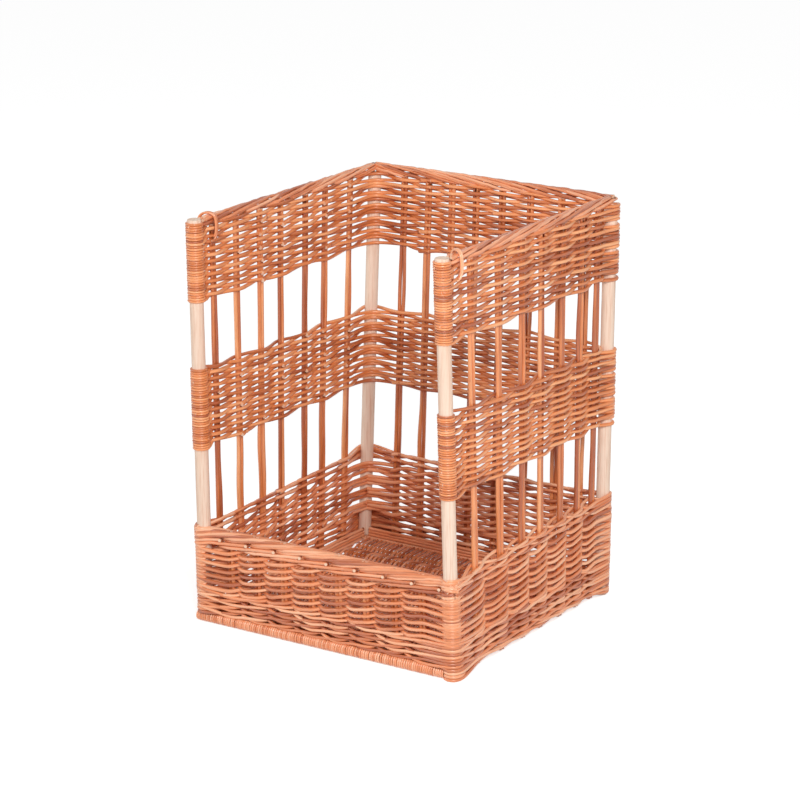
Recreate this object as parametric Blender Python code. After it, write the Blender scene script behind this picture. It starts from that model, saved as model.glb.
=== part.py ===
"""Willow baguette stand: four turned posts, paired willow stakes, a woven tray at the foot and two woven
bands that close three sides, so that long loaves stand in it and are taken out at the open front.

Metres, +Z up. The origin is on the floor in the middle of the stand, and -Y is the open front."""

import math

import bpy
from mathutils import Matrix, Vector

# Posts: round peeled wood that leans out a little from front to back
POST_DIAMETER = 0.022
POST_HEIGHT = 0.600
POST_CHAMFER = 0.0012
POST_SIDES = 16
FOOT_WIDTH = 0.421
FOOT_DEPTH = 0.408
WIDTH_DRAWN_IN = 0.014
DEPTH_FLARED = 0.044

# Willow rods, by their diameters
STAKE_ROD = 0.0055
BAND_ROD = 0.0037
TRAY_ROD = 0.0048
BORDER_ROD = 0.0068
TIE_ROD = 0.0036
BASE_STICK = 0.0060
EDGE_STICK = 0.0080
BASE_STRAND = 0.0033

# Where the stakes stand, set by eye, as shares of each wall's length from its first corner
LEFT_STAKES = (0.090, 0.215, 0.342, 0.456, 0.596, 0.708, 0.854)
BACK_STAKES = (0.133, 0.239, 0.340, 0.443, 0.554, 0.672, 0.800, 0.905)
RIGHT_STAKES = (0.081, 0.184, 0.299, 0.431, 0.550, 0.691, 0.848)
FRONT_STAKES = tuple((number + 1) / 9 for number in range(8))

# How many sticks lie in the base, with its two edge sticks
BASE_STICKS = 13

# Heights of the woven zones
WALE_TOP = 0.038
TRAY_TOP = 0.152
FRONT_BORDER_HEIGHT = 0.031
MIDDLE_BAND_BOTTOM = 0.263
MIDDLE_BAND_HEIGHT = 0.121
TOP_BAND_HEIGHT = 0.1045

# How far the front posts stand out above the top band, and above the rods that wrap them
POST_ABOVE_BAND = 0.0145
POST_ABOVE_WRAP = 0.004

# Woven rows, and what covers a stake or post where a row passes it on the other side
TOP_BAND_ROWS = 22
MIDDLE_BAND_ROWS = 26
TRAY_ROWS = 17
WEAVE_SKIN = 0.0014

# Rows of waled rods in the foot wale and the front border, and how full the valleys between rods are
FOOT_WALE_ROWS = 7
FRONT_BORDER_ROWS = 6
VALLEY = 0.45

# The rods of the top border wind round each other
BORDER_RODS = 3
BORDER_TWIST = 0.330
BORDER_STEP = 0.028
BORDER_BEND = 0.020
BORDER_SIDES = 6
BEND_STEPS = 4
TIE_SIDES = 6
TIE_STEPS = 8

# Ties that hold the border's ends, by their place behind the front posts
TIE_PLACE_LEFT = 0.045
TIE_PLACE_RIGHT = 0.031
TIE_DROP_OUTSIDE = 0.032
TIE_DROP_INSIDE = 0.022

# Fits: how the pieces meet, and how far cutters reach past what they cut
CLEARANCE = 0.0003
CUT_OVER = 0.002
ROD_OVERLAP = 0.0005
STAKE_FOOT = 0.004
ROLL_OVERHANG = 0.0130
STICK_END_INSET = 0.0010
ROLL_SIDE_ROOM = 0.0010

# Sides of the round pieces and of the channels that they lie in
ROD_SIDES = 8
SLOT_SIDES = 6
STICK_SIDES = 8
ROLL_SIDES = 14
WRAP_SIDES = 12

# Derived heights
FRONT_WEAVE_TOP = TRAY_TOP - FRONT_BORDER_HEIGHT
MIDDLE_BAND_TOP = MIDDLE_BAND_BOTTOM + MIDDLE_BAND_HEIGHT
TOP_BAND_TOP = POST_HEIGHT - POST_ABOVE_BAND
TOP_BAND_BOTTOM = TOP_BAND_TOP - TOP_BAND_HEIGHT
WRAP_TOP = POST_HEIGHT - POST_ABOVE_WRAP

# Derived sizes
POST_RADIUS = POST_DIAMETER / 2
STAKE_RADIUS = STAKE_ROD / 2
STAKE_OFFSET = STAKE_RADIUS - ROD_OVERLAP / 2
ROLL_RADIUS = EDGE_STICK / 2 + BASE_STRAND
ROLL_TOP = 2 * ROLL_RADIUS
TRAY_HALF = STAKE_RADIUS + TRAY_ROD
CORNER_RADIUS = POST_RADIUS + TRAY_ROD
HALF_TURN_PER_STEP = math.pi * BORDER_STEP / BORDER_TWIST
BORDER_SPREAD = (BORDER_ROD + 2 * CLEARANCE) / (math.sqrt(3) * math.cos(HALF_TURN_PER_STEP))
BORDER_RADIUS = BORDER_SPREAD + BORDER_ROD / 2
BORDER_HEIGHT = TOP_BAND_TOP + CLEARANCE + BORDER_RADIUS

# Corners by name, then walls in their order round the stand: from, to, places of the stakes
CORNERS = {
    "front_left": (-1, -1),
    "back_left": (-1, 1),
    "back_right": (1, 1),
    "front_right": (1, -1),
}
WALLS = {
    "left": ("front_left", "back_left", LEFT_STAKES),
    "back": ("back_left", "back_right", BACK_STAKES),
    "right": ("back_right", "front_right", RIGHT_STAKES),
    "front": ("front_right", "front_left", FRONT_STAKES),
}
UP = Vector((0, 0, 1))
THREE_WALLS = ("left", "back", "right")
ALL_WALLS = ("left", "back", "right", "front")

# Weave outline: how far a bend leaves its post, and how thin the weave is where its rods cross
LEAVE_ANGLE = math.radians(42)
CROSSING_SHARE = 0.6
CREST_SHARE = 0.25
ARC_STEPS = 5

# Finishes, each a colour and a roughness, and the angle above which an edge stays sharp
WILLOW = ((0.62, 0.26, 0.12, 1.0), 0.42)
WILLOW_DARK = ((0.50, 0.19, 0.085, 1.0), 0.42)
WOOD = ((0.80, 0.62, 0.46, 1.0), 0.55)
SHARP_ANGLE = math.radians(50)


def clear_scene():
    for obj in list(bpy.data.objects):
        bpy.data.objects.remove(obj, do_unlink=True)


def material(name, finish):
    colour, roughness = finish
    made = bpy.data.materials.new(name)
    made.use_nodes = True
    shader = made.node_tree.nodes["Principled BSDF"]
    shader.inputs["Base Color"].default_value = colour
    shader.inputs["Roughness"].default_value = roughness
    shader.inputs["Metallic"].default_value = 0.0
    made.diffuse_color = colour
    return made


def add_object(name, points, faces, finish=WILLOW, smooth=False):
    mesh = bpy.data.meshes.new(name)
    mesh.from_pydata([tuple(point) for point in points], [], faces)
    mesh.validate()
    obj = bpy.data.objects.new(name, mesh)
    bpy.context.scene.collection.objects.link(obj)
    mesh.materials.append(material(name, finish))
    if smooth:
        mesh.shade_smooth()
        mesh.set_sharp_from_angle(angle=SHARP_ANGLE)
    return obj


def combine(obj, helper, operation):
    """Joins a helper to the object or takes it out. The helper stays in the scene, hidden."""
    helper.hide_render = True
    helper.display_type = "WIRE"
    modifier = obj.modifiers.new(helper.name, "BOOLEAN")
    modifier.operation = operation
    modifier.solver = "EXACT"
    modifier.object = helper


def cut(obj, cutters):
    for cutter in cutters:
        combine(obj, cutter, "DIFFERENCE")


def join(obj, helper):
    combine(obj, helper, "UNION")


def ring_faces(first, second, count):
    """The band of faces between two rings of points that start at two indices."""
    return [
        (first + i, first + (i + 1) % count, second + (i + 1) % count, second + i)
        for i in range(count)
    ]


def loft(rings):
    """Points and faces of a solid through rings of equal count, anticlockwise seen from the far end."""
    count = len(rings[0])
    points = [point for ring in rings for point in ring]
    faces = [tuple(range(count))[::-1]]
    for level in range(len(rings) - 1):
        faces += ring_faces(level * count, (level + 1) * count, count)
    last = (len(rings) - 1) * count
    faces.append(tuple(range(last, last + count)))
    return points, faces


def merged(solids):
    """Several closed shapes as the points and faces of one mesh."""
    points = []
    faces = []
    for more_points, more_faces in solids:
        start = len(points)
        points += more_points
        faces += [tuple(start + index for index in face) for face in more_faces]
    return points, faces


def post_at(corner, height):
    """The post's axis at a height."""
    side_x, side_y = CORNERS[corner]
    rise = height / POST_HEIGHT
    width = FOOT_WIDTH - WIDTH_DRAWN_IN * rise
    depth = FOOT_DEPTH + DEPTH_FLARED * rise
    return Vector((side_x * width / 2, side_y * depth / 2, height))


def wall_at(wall, height):
    """Start, end, direction along and direction outward of a wall's middle line at a height."""
    first, last, _ = WALLS[wall]
    start = post_at(first, height)
    end = post_at(last, height)
    along = (end - start).normalized()
    out = Matrix.Rotation(math.pi / 2, 3, "Z") @ along
    return start, end, along, out


def wall_length(wall, height):
    start, end, _, _ = wall_at(wall, height)
    return (end - start).length


def stake_at(wall, number, height):
    start, end, _, _ = wall_at(wall, height)
    return start.lerp(end, WALLS[wall][2][number])


def level(angle):
    """The level direction at an angle from +X."""
    return Vector((math.cos(angle), math.sin(angle), 0))


def circle(centre, radius, sides):
    """A level ring of points with a flat side to +X."""
    return [centre + level(2 * math.pi * (i + 0.5) / sides) * radius for i in range(sides)]


def around(radius, sides):
    """The radius of a polygon whose sides touch a circle from outside."""
    return radius / math.cos(math.pi / sides)


def post_solid(corner, low, high, radius, chamfer):
    rings = [circle(post_at(corner, low), radius, POST_SIDES)]
    if chamfer:
        rings.append(circle(post_at(corner, high - chamfer), radius, POST_SIDES))
    rings.append(circle(post_at(corner, high), radius - chamfer, POST_SIDES))
    return loft(rings)


def stake_outline(wall, number, height):
    """Two rods side by side along the wall, joined at their waist."""
    centre = stake_at(wall, number, height)
    _, _, along, out = wall_at(wall, height)
    half_side = math.pi / ROD_SIDES
    right = []
    for i in range(-3, 3):
        angle = half_side * (2 * i + 1)
        right.append((STAKE_OFFSET + STAKE_RADIUS * math.cos(angle), STAKE_RADIUS * math.sin(angle)))
    waist = STAKE_RADIUS * (math.sin(half_side) + math.cos(half_side)) - STAKE_OFFSET
    outline = right + [(0.0, waist)] + [(-x, -y) for x, y in right] + [(0.0, -waist)]
    return [centre + along * x + out * y for x, y in outline]


def slot_outline(wall, number, height):
    """The channel that a stake pair passes through, clear of it all round."""
    centre = stake_at(wall, number, height)
    _, _, along, out = wall_at(wall, height)
    reach = around(STAKE_RADIUS + CLEARANCE, SLOT_SIDES)
    right = []
    for i in (-1, 0, 1):
        angle = 2 * math.pi * i / SLOT_SIDES
        right.append((STAKE_OFFSET + reach * math.cos(angle), reach * math.sin(angle)))
    outline = right + [(-x, -y) for x, y in right]
    return [centre + along * x + out * y for x, y in outline]


def stack_faces(first, second):
    """Triangles between two upright columns, each a list of heights with their points' numbers."""
    faces = []
    i = 0
    j = 0
    while i + j < len(first) + len(second) - 2:
        first_is_done = i == len(first) - 1
        second_is_done = j == len(second) - 1
        if second_is_done or (not first_is_done and first[i + 1][0] <= second[j + 1][0]):
            faces.append((first[i][1], first[i + 1][1], second[j][1]))
            i += 1
        else:
            faces.append((first[i][1], second[j + 1][1], second[j][1]))
            j += 1
    return faces


def columns_solid(columns, closed):
    """A wall as one closed solid, from columns of (height, outer point, inner point) along its way."""
    points = []
    outer = []
    inner = []
    for column in columns:
        for numbered, side in ((outer, 1), (inner, 2)):
            numbered.append([(entry[0], len(points) + i) for i, entry in enumerate(column)])
            points += [entry[side] for entry in column]
    faces = []
    count = len(columns)
    for here in range(count if closed else count - 1):
        after = (here + 1) % count
        faces += stack_faces(outer[here], outer[after])
        faces += [face[::-1] for face in stack_faces(inner[here], inner[after])]
        faces.append((outer[here][-1][1], inner[here][-1][1], inner[after][-1][1], outer[after][-1][1]))
        faces.append((outer[here][0][1], outer[after][0][1], inner[after][0][1], inner[here][0][1]))
    if not closed:
        faces += stack_faces(inner[0], outer[0])
        faces += stack_faces(outer[-1], inner[-1])
    return points, faces


def corner_turns(leave):
    """Angles off a wall's heading, outside and inside, between which a rod turns round its end's post."""
    return (math.pi - leave, leave - math.pi / 2), (math.pi + leave, 1.5 * math.pi - leave)


def turn_entry(corner, wall, height, turns, part, radii):
    """An entry of a column where the weave turns round a post, a part of the way through the turns."""
    centre = post_at(corner, height)
    _, _, along, _ = wall_at(wall, height)
    ahead = math.atan2(along.y, along.x)
    found = [height]
    for (first, last), radius in zip(turns, radii):
        found.append(centre + level(ahead + first + (last - first) * part) * radius)
    return found


def woven_columns(walls, closed, rod, levels):
    """Columns of woven rows, which pass outside and inside the stakes in turn.

    A level is a height with its row's number, or with None for rods on both sides. The rows of an open band
    alternate along the wall, pass the posts between its walls in turn too and ring its end posts. Those of a
    closed one go in pairs, so that the same rows are outside at every stake, and stay outside the posts."""
    full = STAKE_RADIUS + rod
    slim = STAKE_RADIUS + WEAVE_SKIN
    bend = POST_RADIUS + rod
    sleeve = POST_RADIUS + WEAVE_SKIN
    thin = rod * CROSSING_SHARE
    reach = bend * math.cos(LEAVE_ANGLE)
    end_step = math.pi / (2 * ARC_STEPS)
    every_other = levels[:-1:2] + levels[-1:]
    ends = [levels[0], levels[-1]]
    columns = []
    place = 0

    def in_turn(row, wide, narrow):
        """How far the weave reaches outside and inside where a row passes the place that is reached."""
        if row is None:
            return wide, wide
        turn = row if closed else row + place
        return (wide, narrow) if turn % 2 == 0 else (narrow, wide)

    def upright(wall, share, nudge, chosen, reaches):
        column = []
        for height, row in chosen:
            start, end, along, out = wall_at(wall, height)
            middle = start.lerp(end, share) + along * nudge
            outer, inner = reaches(row)
            column.append((height, middle + out * outer, middle - out * inner))
        columns.append(column)

    def arc(corner, wall, turns, chosen, radii):
        for i in range(ARC_STEPS + 1):
            part = i / ARC_STEPS
            column = [turn_entry(corner, wall, height, turns, part, radii(row)) for height, row in chosen]
            columns.append(column)

    for number, wall in enumerate(walls):
        first, last, places = WALLS[wall]
        if number == 0 and not closed:
            turns = (math.pi - end_step, LEAVE_ANGLE), (math.pi + end_step, 2 * math.pi - LEAVE_ANGLE)
            arc(first, wall, turns, ends, lambda row: (bend, bend))
        before = 0.0
        nudge = reach / 2
        for share in places:
            upright(wall, (before + share) / 2, nudge, every_other, lambda row: (thin, thin))
            upright(wall, share, 0.0, levels, lambda row: in_turn(row, full, slim))
            place += 1
            before = share
            nudge = 0.0
        upright(wall, (before + 1.0) / 2, -reach / 2, every_other, lambda row: (thin, thin))
        if closed:
            arc(last, wall, corner_turns(LEAVE_ANGLE), ends, lambda row: (bend, sleeve))
        elif number < len(walls) - 1:
            arc(last, wall, corner_turns(LEAVE_ANGLE), levels, lambda row: in_turn(row, bend, sleeve))
        else:
            turns = (math.pi - LEAVE_ANGLE, end_step), (math.pi + LEAVE_ANGLE, 2 * math.pi - end_step)
            arc(last, wall, turns, ends, lambda row: (bend, bend))
        place += 1
    return columns


def wale_columns(levels):
    """Columns of stacked rods round the tray, from levels of (height, fullness), straight between posts."""
    columns = []
    for wall in ALL_WALLS:
        for i in range(ARC_STEPS + 1):
            column = []
            for height, fullness in levels:
                bend = POST_RADIUS + TRAY_ROD * fullness
                turns = corner_turns(math.asin((STAKE_RADIUS + TRAY_ROD * fullness) / bend))
                column.append(turn_entry(WALLS[wall][1], wall, height, turns, i / ARC_STEPS, (bend, bend)))
            columns.append(column)
    return columns


def row_levels(low, high, rod, rows):
    """The middle height of each woven row with its number, where the lowest is taken at its lower edge."""
    step = (high - low - rod) / (rows - 1)
    return [(low, 0)] + [(low + rod / 2 + step * row, row) for row in range(1, rows)]


def wale_levels(low, high, rows):
    """Heights and fullness of stacked rods: full at each rod's middle, drawn in between rods."""
    step = (high - low) / rows
    levels = []
    for row in range(rows):
        levels.append((low + row * step, VALLEY))
        levels.append((low + (row + 0.5) * step, 1.0))
    levels.append((high, VALLEY))
    return levels


def stake_feet(wall):
    """Where the stakes of a wall start: above the base's rolled edge in the front and back walls."""
    return ROLL_TOP + CLEARANCE if wall in ("front", "back") else STAKE_FOOT


def stake_heads(wall):
    return TRAY_TOP - TRAY_ROD if wall == "front" else TOP_BAND_TOP


def post_foot(corner):
    """The base's rolled edges run on under the left posts, and stop against the right ones."""
    return ROLL_TOP + CLEARANCE if CORNERS[corner][0] < 0 else 0.0


def post_head(corner):
    """The back posts end under the border, which runs over them."""
    return TOP_BAND_TOP if CORNERS[corner][1] > 0 else POST_HEIGHT


def channel_cutter(name, walls, corners, low, high):
    """The channels for the stakes and posts that pass through a woven zone."""
    solids = []
    for wall in walls:
        bottom = max(low - CUT_OVER, stake_feet(wall) - CLEARANCE)
        top = high + CUT_OVER if stake_heads(wall) >= high else stake_heads(wall) + CLEARANCE
        for number in range(len(WALLS[wall][2])):
            solids.append(loft([slot_outline(wall, number, bottom), slot_outline(wall, number, top)]))
    radius = around(POST_RADIUS + CLEARANCE, POST_SIDES)
    for corner in corners:
        solids.append(post_solid(corner, low - CUT_OVER, high + CUT_OVER, radius, 0))
    return add_object(name, *merged(solids))


def box_cutter(name, low, high):
    x0, y0, z0 = low
    x1, y1, z1 = high
    lower = [Vector((x0, y0, z0)), Vector((x1, y0, z0)), Vector((x1, y1, z0)), Vector((x0, y1, z0))]
    upper = [Vector((point.x, point.y, z1)) for point in lower]
    return add_object(name, *loft([lower, upper]))


def make_posts():
    for corner in CORNERS:
        points, faces = post_solid(corner, post_foot(corner), post_head(corner), POST_RADIUS, POST_CHAMFER)
        add_object("post_" + corner, points, faces, WOOD, smooth=True)


def make_stakes():
    for wall in ALL_WALLS:
        for number in range(len(WALLS[wall][2])):
            rings = [
                stake_outline(wall, number, stake_feet(wall)),
                stake_outline(wall, number, stake_heads(wall)),
            ]
            points, faces = loft(rings)
            add_object(f"stake_pair_{wall}_{number + 1}", points, faces, WILLOW_DARK, smooth=True)


def make_band(name, low, high, rows, wrap_top):
    """A woven band that rings the front posts up to wrap_top and passes the back posts on both sides."""
    levels = row_levels(low, high, BAND_ROD, rows)[:-1] + [(high, rows - 1)]
    points, faces = columns_solid(woven_columns(THREE_WALLS, False, BAND_ROD, levels), False)
    band = add_object(name, points, faces)
    if wrap_top > high:
        radius = POST_RADIUS + BAND_ROD - CLEARANCE
        for corner in ("front_left", "front_right"):
            ends = [post_at(corner, height) for height in (high - BAND_ROD, wrap_top)]
            rings = [circle(centre, radius, WRAP_SIDES) for centre in ends]
            join(band, add_object(f"{name}_{corner}_wrap", *loft(rings)))
    cut(band, [channel_cutter(name + "_channels", THREE_WALLS, CORNERS, low, max(high, wrap_top))])


def make_tray():
    """The tray: the foot wale, and the weave above it, which leaves room for the border at the front."""
    levels = wale_levels(0.0, WALE_TOP, FOOT_WALE_ROWS)
    points, faces = columns_solid(wale_columns(levels), True)
    wale = add_object("tray_foot_wale", points, faces)
    reach = CORNER_RADIUS + ROLL_SIDE_ROOM
    turn_start = post_at("front_right", ROLL_TOP).x - math.sqrt(CORNER_RADIUS**2 - TRAY_HALF**2)
    cutters = [channel_cutter("foot_wale_channels", ALL_WALLS, CORNERS, 0.0, WALE_TOP)]
    for name, side in (("front", -1), ("back", 1)):
        line = side * FOOT_DEPTH / 2
        low = (-FOOT_WIDTH, line - reach, -ROLL_TOP)
        high = (turn_start, line + reach, ROLL_TOP + CLEARANCE)
        cutters.append(box_cutter(f"foot_wale_{name}_roll_space", low, high))
    cut(wale, cutters)

    low = WALE_TOP + CLEARANCE
    levels = row_levels(low, FRONT_WEAVE_TOP, TRAY_ROD, TRAY_ROWS)
    levels += [(FRONT_WEAVE_TOP + TRAY_ROD / 2, None), (TRAY_TOP, None)]
    points, faces = columns_solid(woven_columns(ALL_WALLS, True, TRAY_ROD, levels), True)
    weave = add_object("tray_weave", points, faces)
    inside = post_at("front_right", FRONT_WEAVE_TOP).x - CORNER_RADIUS
    front = post_at("front_right", TRAY_TOP).y
    space = box_cutter(
        "tray_weave_border_space",
        (-inside, front - reach, FRONT_WEAVE_TOP),
        (inside, front + reach, TRAY_TOP + TRAY_ROD),
    )
    cut(weave, [space, channel_cutter("tray_weave_channels", ALL_WALLS, CORNERS, low, TRAY_TOP)])


def make_front_border():
    """The rods that close the tray's front edge between the two front posts."""
    low = FRONT_WEAVE_TOP + CLEARANCE
    rings = []
    for height, fullness in wale_levels(low, TRAY_TOP, FRONT_BORDER_ROWS):
        start, end, along, out = wall_at("front", height)
        half = STAKE_RADIUS + TRAY_ROD * fullness
        gap = CORNER_RADIUS + 2 * CLEARANCE
        first = start + along * gap
        last = end - along * gap
        rings.append([first - out * half, last - out * half, last + out * half, first + out * half])
    points, faces = loft(rings)
    border = add_object("tray_front_border", points, faces)
    cut(border, [channel_cutter("front_border_channels", ("front",), (), low, TRAY_TOP)])


def roll_right_end():
    """The rolled edges stop short of the weave that turns round the right posts."""
    return post_at("front_right", ROLL_TOP).x - CORNER_RADIUS - CLEARANCE


def roll_left_end():
    return post_at("front_left", 0).x - ROLL_OVERHANG


def bar_along_x(left, right, y, radius, sides):
    """A round bar from left to right at the base's middle height."""
    rings = []
    for x in (left, right):
        ring = []
        for i in range(sides):
            angle = 2 * math.pi * (i + 0.5) / sides
            ring.append(Vector((x, y + radius * math.cos(angle), ROLL_RADIUS + radius * math.sin(angle))))
        rings.append(ring)
    return loft(rings)


def base_outline():
    """The woven base seen from its right end: it swells over each stick and thins where strands cross."""
    pitch = FOOT_DEPTH / (BASE_STICKS - 1)
    thick = BASE_STICK / 2 + BASE_STRAND
    thin = BASE_STRAND * CROSSING_SHARE
    shoulder = BASE_STICK * CREST_SHARE
    crest = [(-FOOT_DEPTH / 2, thin)]
    for number in range(1, BASE_STICKS - 1):
        y = pitch * number - FOOT_DEPTH / 2
        crest += [(y - pitch / 2, thin), (y - shoulder, thick), (y + shoulder, thick)]
    crest += [(FOOT_DEPTH / 2 - pitch / 2, thin), (FOOT_DEPTH / 2, thin)]
    return [(y, -half) for y, half in crest] + [(y, half) for y, half in reversed(crest)]


def make_base():
    """The base: sticks from left to right, woven over with strands that roll round the edge sticks."""
    right = post_at("front_right", ROLL_TOP).x - TRAY_HALF - CLEARANCE
    outline = base_outline()
    rings = [[Vector((x, y, ROLL_RADIUS + z)) for y, z in outline] for x in (-right, right)]
    points, faces = loft(rings)
    base = add_object("base_weave", points, faces)
    places = [FOOT_DEPTH * (number / (BASE_STICKS - 1) - 0.5) for number in range(BASE_STICKS)]
    edges = (places[0], places[-1])
    for name, y in zip(("front", "back"), edges):
        roll = bar_along_x(roll_left_end(), roll_right_end(), y, ROLL_RADIUS, ROLL_SIDES)
        join(base, add_object(f"base_{name}_roll", *roll))
    radius = around(CORNER_RADIUS + CLEARANCE, POST_SIDES)
    turns = []
    for corner in ("front_right", "back_right"):
        turns.append(post_solid(corner, -ROLL_TOP, 2 * ROLL_TOP, radius, 0))
    cut(base, [add_object("base_corner_room", *merged(turns))])
    channels = []
    for y in places:
        stick = EDGE_STICK if y in edges else BASE_STICK
        radius = around(stick / 2 + CLEARANCE, STICK_SIDES)
        channels.append(bar_along_x(-FOOT_WIDTH, FOOT_WIDTH, y, radius, STICK_SIDES))
    cut(base, [add_object("base_channels", *merged(channels))])
    for number, y in enumerate(places):
        if y in edges:
            left_end, right_end, stick = roll_left_end(), roll_right_end(), EDGE_STICK
        else:
            left_end, right_end, stick = -right, right, BASE_STICK
        left_end += STICK_END_INSET
        right_end -= STICK_END_INSET
        points, faces = bar_along_x(left_end, right_end, y, stick / 2, STICK_SIDES)
        add_object(f"base_stick_{number + 1:02d}", points, faces, WILLOW_DARK, smooth=True)


def border_line():
    """Middle line and outward directions of the top border, from one front post round to the other."""
    height = BORDER_HEIGHT
    start_gap = POST_RADIUS + BAND_ROD + CLEARANCE
    line = []
    for index, wall in enumerate(THREE_WALLS):
        start, end, along, out = wall_at(wall, height)
        length = (end - start).length
        first = start_gap if index == 0 else BORDER_BEND
        last = length - (start_gap if index == len(THREE_WALLS) - 1 else BORDER_BEND)
        spans = math.ceil((last - first) / BORDER_STEP)
        for i in range(spans + 1):
            line.append((start + along * (first + (last - first) * i / spans), out))
        if index < len(THREE_WALLS) - 1:
            centre = end - along * BORDER_BEND - out * BORDER_BEND
            for i in range(1, BEND_STEPS):
                turned = Matrix.Rotation(-math.pi / 2 * i / BEND_STEPS, 3, "Z") @ out
                line.append((centre + turned * BORDER_BEND, turned))
    return line


def make_border():
    """Three long rods that wind round each other on top of the band."""
    line = border_line()
    travelled = [0.0]
    for before, after in zip(line, line[1:]):
        travelled.append(travelled[-1] + (after[0] - before[0]).length)
    for rod in range(BORDER_RODS):
        rings = []
        for (middle, out), distance in zip(line, travelled):
            angle = 2 * math.pi * (rod / BORDER_RODS + distance / BORDER_TWIST)
            centre = middle + (out * math.cos(angle) + UP * math.sin(angle)) * BORDER_SPREAD
            ring = []
            for i in range(BORDER_SIDES):
                turn = 2 * math.pi * i / BORDER_SIDES
                ring.append(centre + (out * math.cos(turn) + UP * math.sin(turn)) * BORDER_ROD / 2)
            rings.append(ring)
        points, faces = loft(rings)
        add_object(f"top_border_rod_{rod + 1}", points, faces, smooth=True)


def make_tie(name, wall, place):
    """A rod that comes up inside the wall, bends over the border and goes down outside."""
    bend = BORDER_RADIUS + 2 * CLEARANCE + TIE_ROD / 2
    start, _, along, out = wall_at(wall, BORDER_HEIGHT)
    foot = start + along * place
    route = [(foot - out * bend - UP * TIE_DROP_INSIDE, -out)]
    for i in range(TIE_STEPS + 1):
        angle = math.pi * (1 - i / TIE_STEPS)
        outward = out * math.cos(angle) + UP * math.sin(angle)
        route.append((foot + outward * bend, outward))
    route.append((foot + out * bend - UP * TIE_DROP_OUTSIDE, out))
    rings = []
    for centre, outward in route:
        ring = []
        for i in range(TIE_SIDES):
            turn = 2 * math.pi * i / TIE_SIDES
            ring.append(centre + (outward * math.cos(turn) + along * math.sin(turn)) * TIE_ROD / 2)
        rings.append(ring)
    points, faces = loft(rings)
    add_object(name, points, faces, smooth=True)


clear_scene()
make_posts()
make_stakes()
make_base()
make_tray()
make_front_border()
make_band("middle_band", MIDDLE_BAND_BOTTOM, MIDDLE_BAND_TOP, MIDDLE_BAND_ROWS, MIDDLE_BAND_TOP)
make_band("top_band", TOP_BAND_BOTTOM, TOP_BAND_TOP, TOP_BAND_ROWS, WRAP_TOP)
make_border()
make_tie("border_tie_left", "left", TIE_PLACE_LEFT)
make_tie("border_tie_right", "right", wall_length("right", BORDER_HEIGHT) - TIE_PLACE_RIGHT)
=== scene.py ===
"""Willow baguette stand: the look of its woven rods, stakes and posts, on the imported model's frame.

Metres, +Z up, -Y is the open front. Each woven zone is made rod by rod: a path for the rod's middle line,
with its thickness and its tone along the way, which a Geometry Nodes tree turns into tubes."""

import functools
import math
import random

import bpy
import numpy as np
from mathutils import Matrix, Vector


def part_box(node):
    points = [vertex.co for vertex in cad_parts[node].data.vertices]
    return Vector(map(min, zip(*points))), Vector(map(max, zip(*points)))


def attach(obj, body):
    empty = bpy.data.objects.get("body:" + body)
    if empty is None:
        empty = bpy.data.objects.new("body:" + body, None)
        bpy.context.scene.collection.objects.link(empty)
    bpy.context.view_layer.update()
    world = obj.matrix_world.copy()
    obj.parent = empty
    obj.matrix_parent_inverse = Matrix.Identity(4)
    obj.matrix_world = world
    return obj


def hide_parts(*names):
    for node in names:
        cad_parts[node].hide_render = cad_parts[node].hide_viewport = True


bl_info = {
    "name": "Willow baguette stand",
    "version": (1, 0, 0),
    "blender": (4, 5, 0),
    "location": "3D View > Sidebar > Willow stand",
    "description": "Weaves a willow baguette stand over its solid model",
    "category": "Object",
}

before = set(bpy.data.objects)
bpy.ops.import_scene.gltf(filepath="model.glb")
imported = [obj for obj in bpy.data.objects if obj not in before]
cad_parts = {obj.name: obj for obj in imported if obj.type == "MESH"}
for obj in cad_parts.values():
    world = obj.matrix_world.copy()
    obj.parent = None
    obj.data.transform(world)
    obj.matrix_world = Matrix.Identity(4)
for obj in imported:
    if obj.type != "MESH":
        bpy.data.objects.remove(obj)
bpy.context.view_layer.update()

MM = 0.001
UP = Vector((0, 0, 1))
CORNERS = ("front_left", "back_left", "back_right", "front_right")
WALLS = {
    "left": ("front_left", "back_left"),
    "back": ("back_left", "back_right"),
    "right": ("back_right", "front_right"),
    "front": ("front_right", "front_left"),
}
TRAY_WALLS = ("back", "right", "front", "left")
OPEN_WALLS = ("left", "back", "right")
OUTSIDE = 1
INSIDE = -1

# How tightly rods lie round a post, and how far one of the bands turns round it
RING_SUNK = 0.8 * MM
TURN_SUNK = 1.1 * MM
RING_TURN = math.radians(338)
# Rods round a front post are drawn at this share of the ring rod setting
RING_SHARE = 0.94

# How long the rods are that follow each other in a row
BAND_LENGTH = 0.62
TRAY_LENGTH = 0.7
WALE_LENGTH = 0.75


# Places read from the frame


def axis_of(node):
    """The lowest and highest middle points of an upright round piece of the frame."""
    points = {tuple(round(value, 6) for value in vertex.co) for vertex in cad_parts[node].data.vertices}
    ends = []
    for pick in (min, max):
        level = pick(point[2] for point in points)
        ring = [Vector(point) for point in points if abs(point[2] - level) < 0.2 * MM]
        ends.append(sum(ring, Vector()) / len(ring))
    return ends


def along_axis(axis, height):
    foot, head = axis
    return foot + (head - foot) * (height - foot.z) / (head.z - foot.z)


POST_AXES = {corner: axis_of("post_" + corner) for corner in CORNERS}
STAKE_AXES = {}
for wall_name in WALLS:
    found = [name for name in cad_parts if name.startswith(f"stake_pair_{wall_name}_")]
    found.sort(key=lambda name: int(name.rsplit("_", 1)[1]))
    STAKE_AXES[wall_name] = [axis_of(name) for name in found]
BASE_STICKS = sorted(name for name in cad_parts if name.startswith("base_stick_"))


@functools.cache
def span(node):
    """Lowest and highest level of a node."""
    low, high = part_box(node)
    return low.z, high.z


TOP_BAND_TOP = span("stake_pair_left_1")[1]


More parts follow.
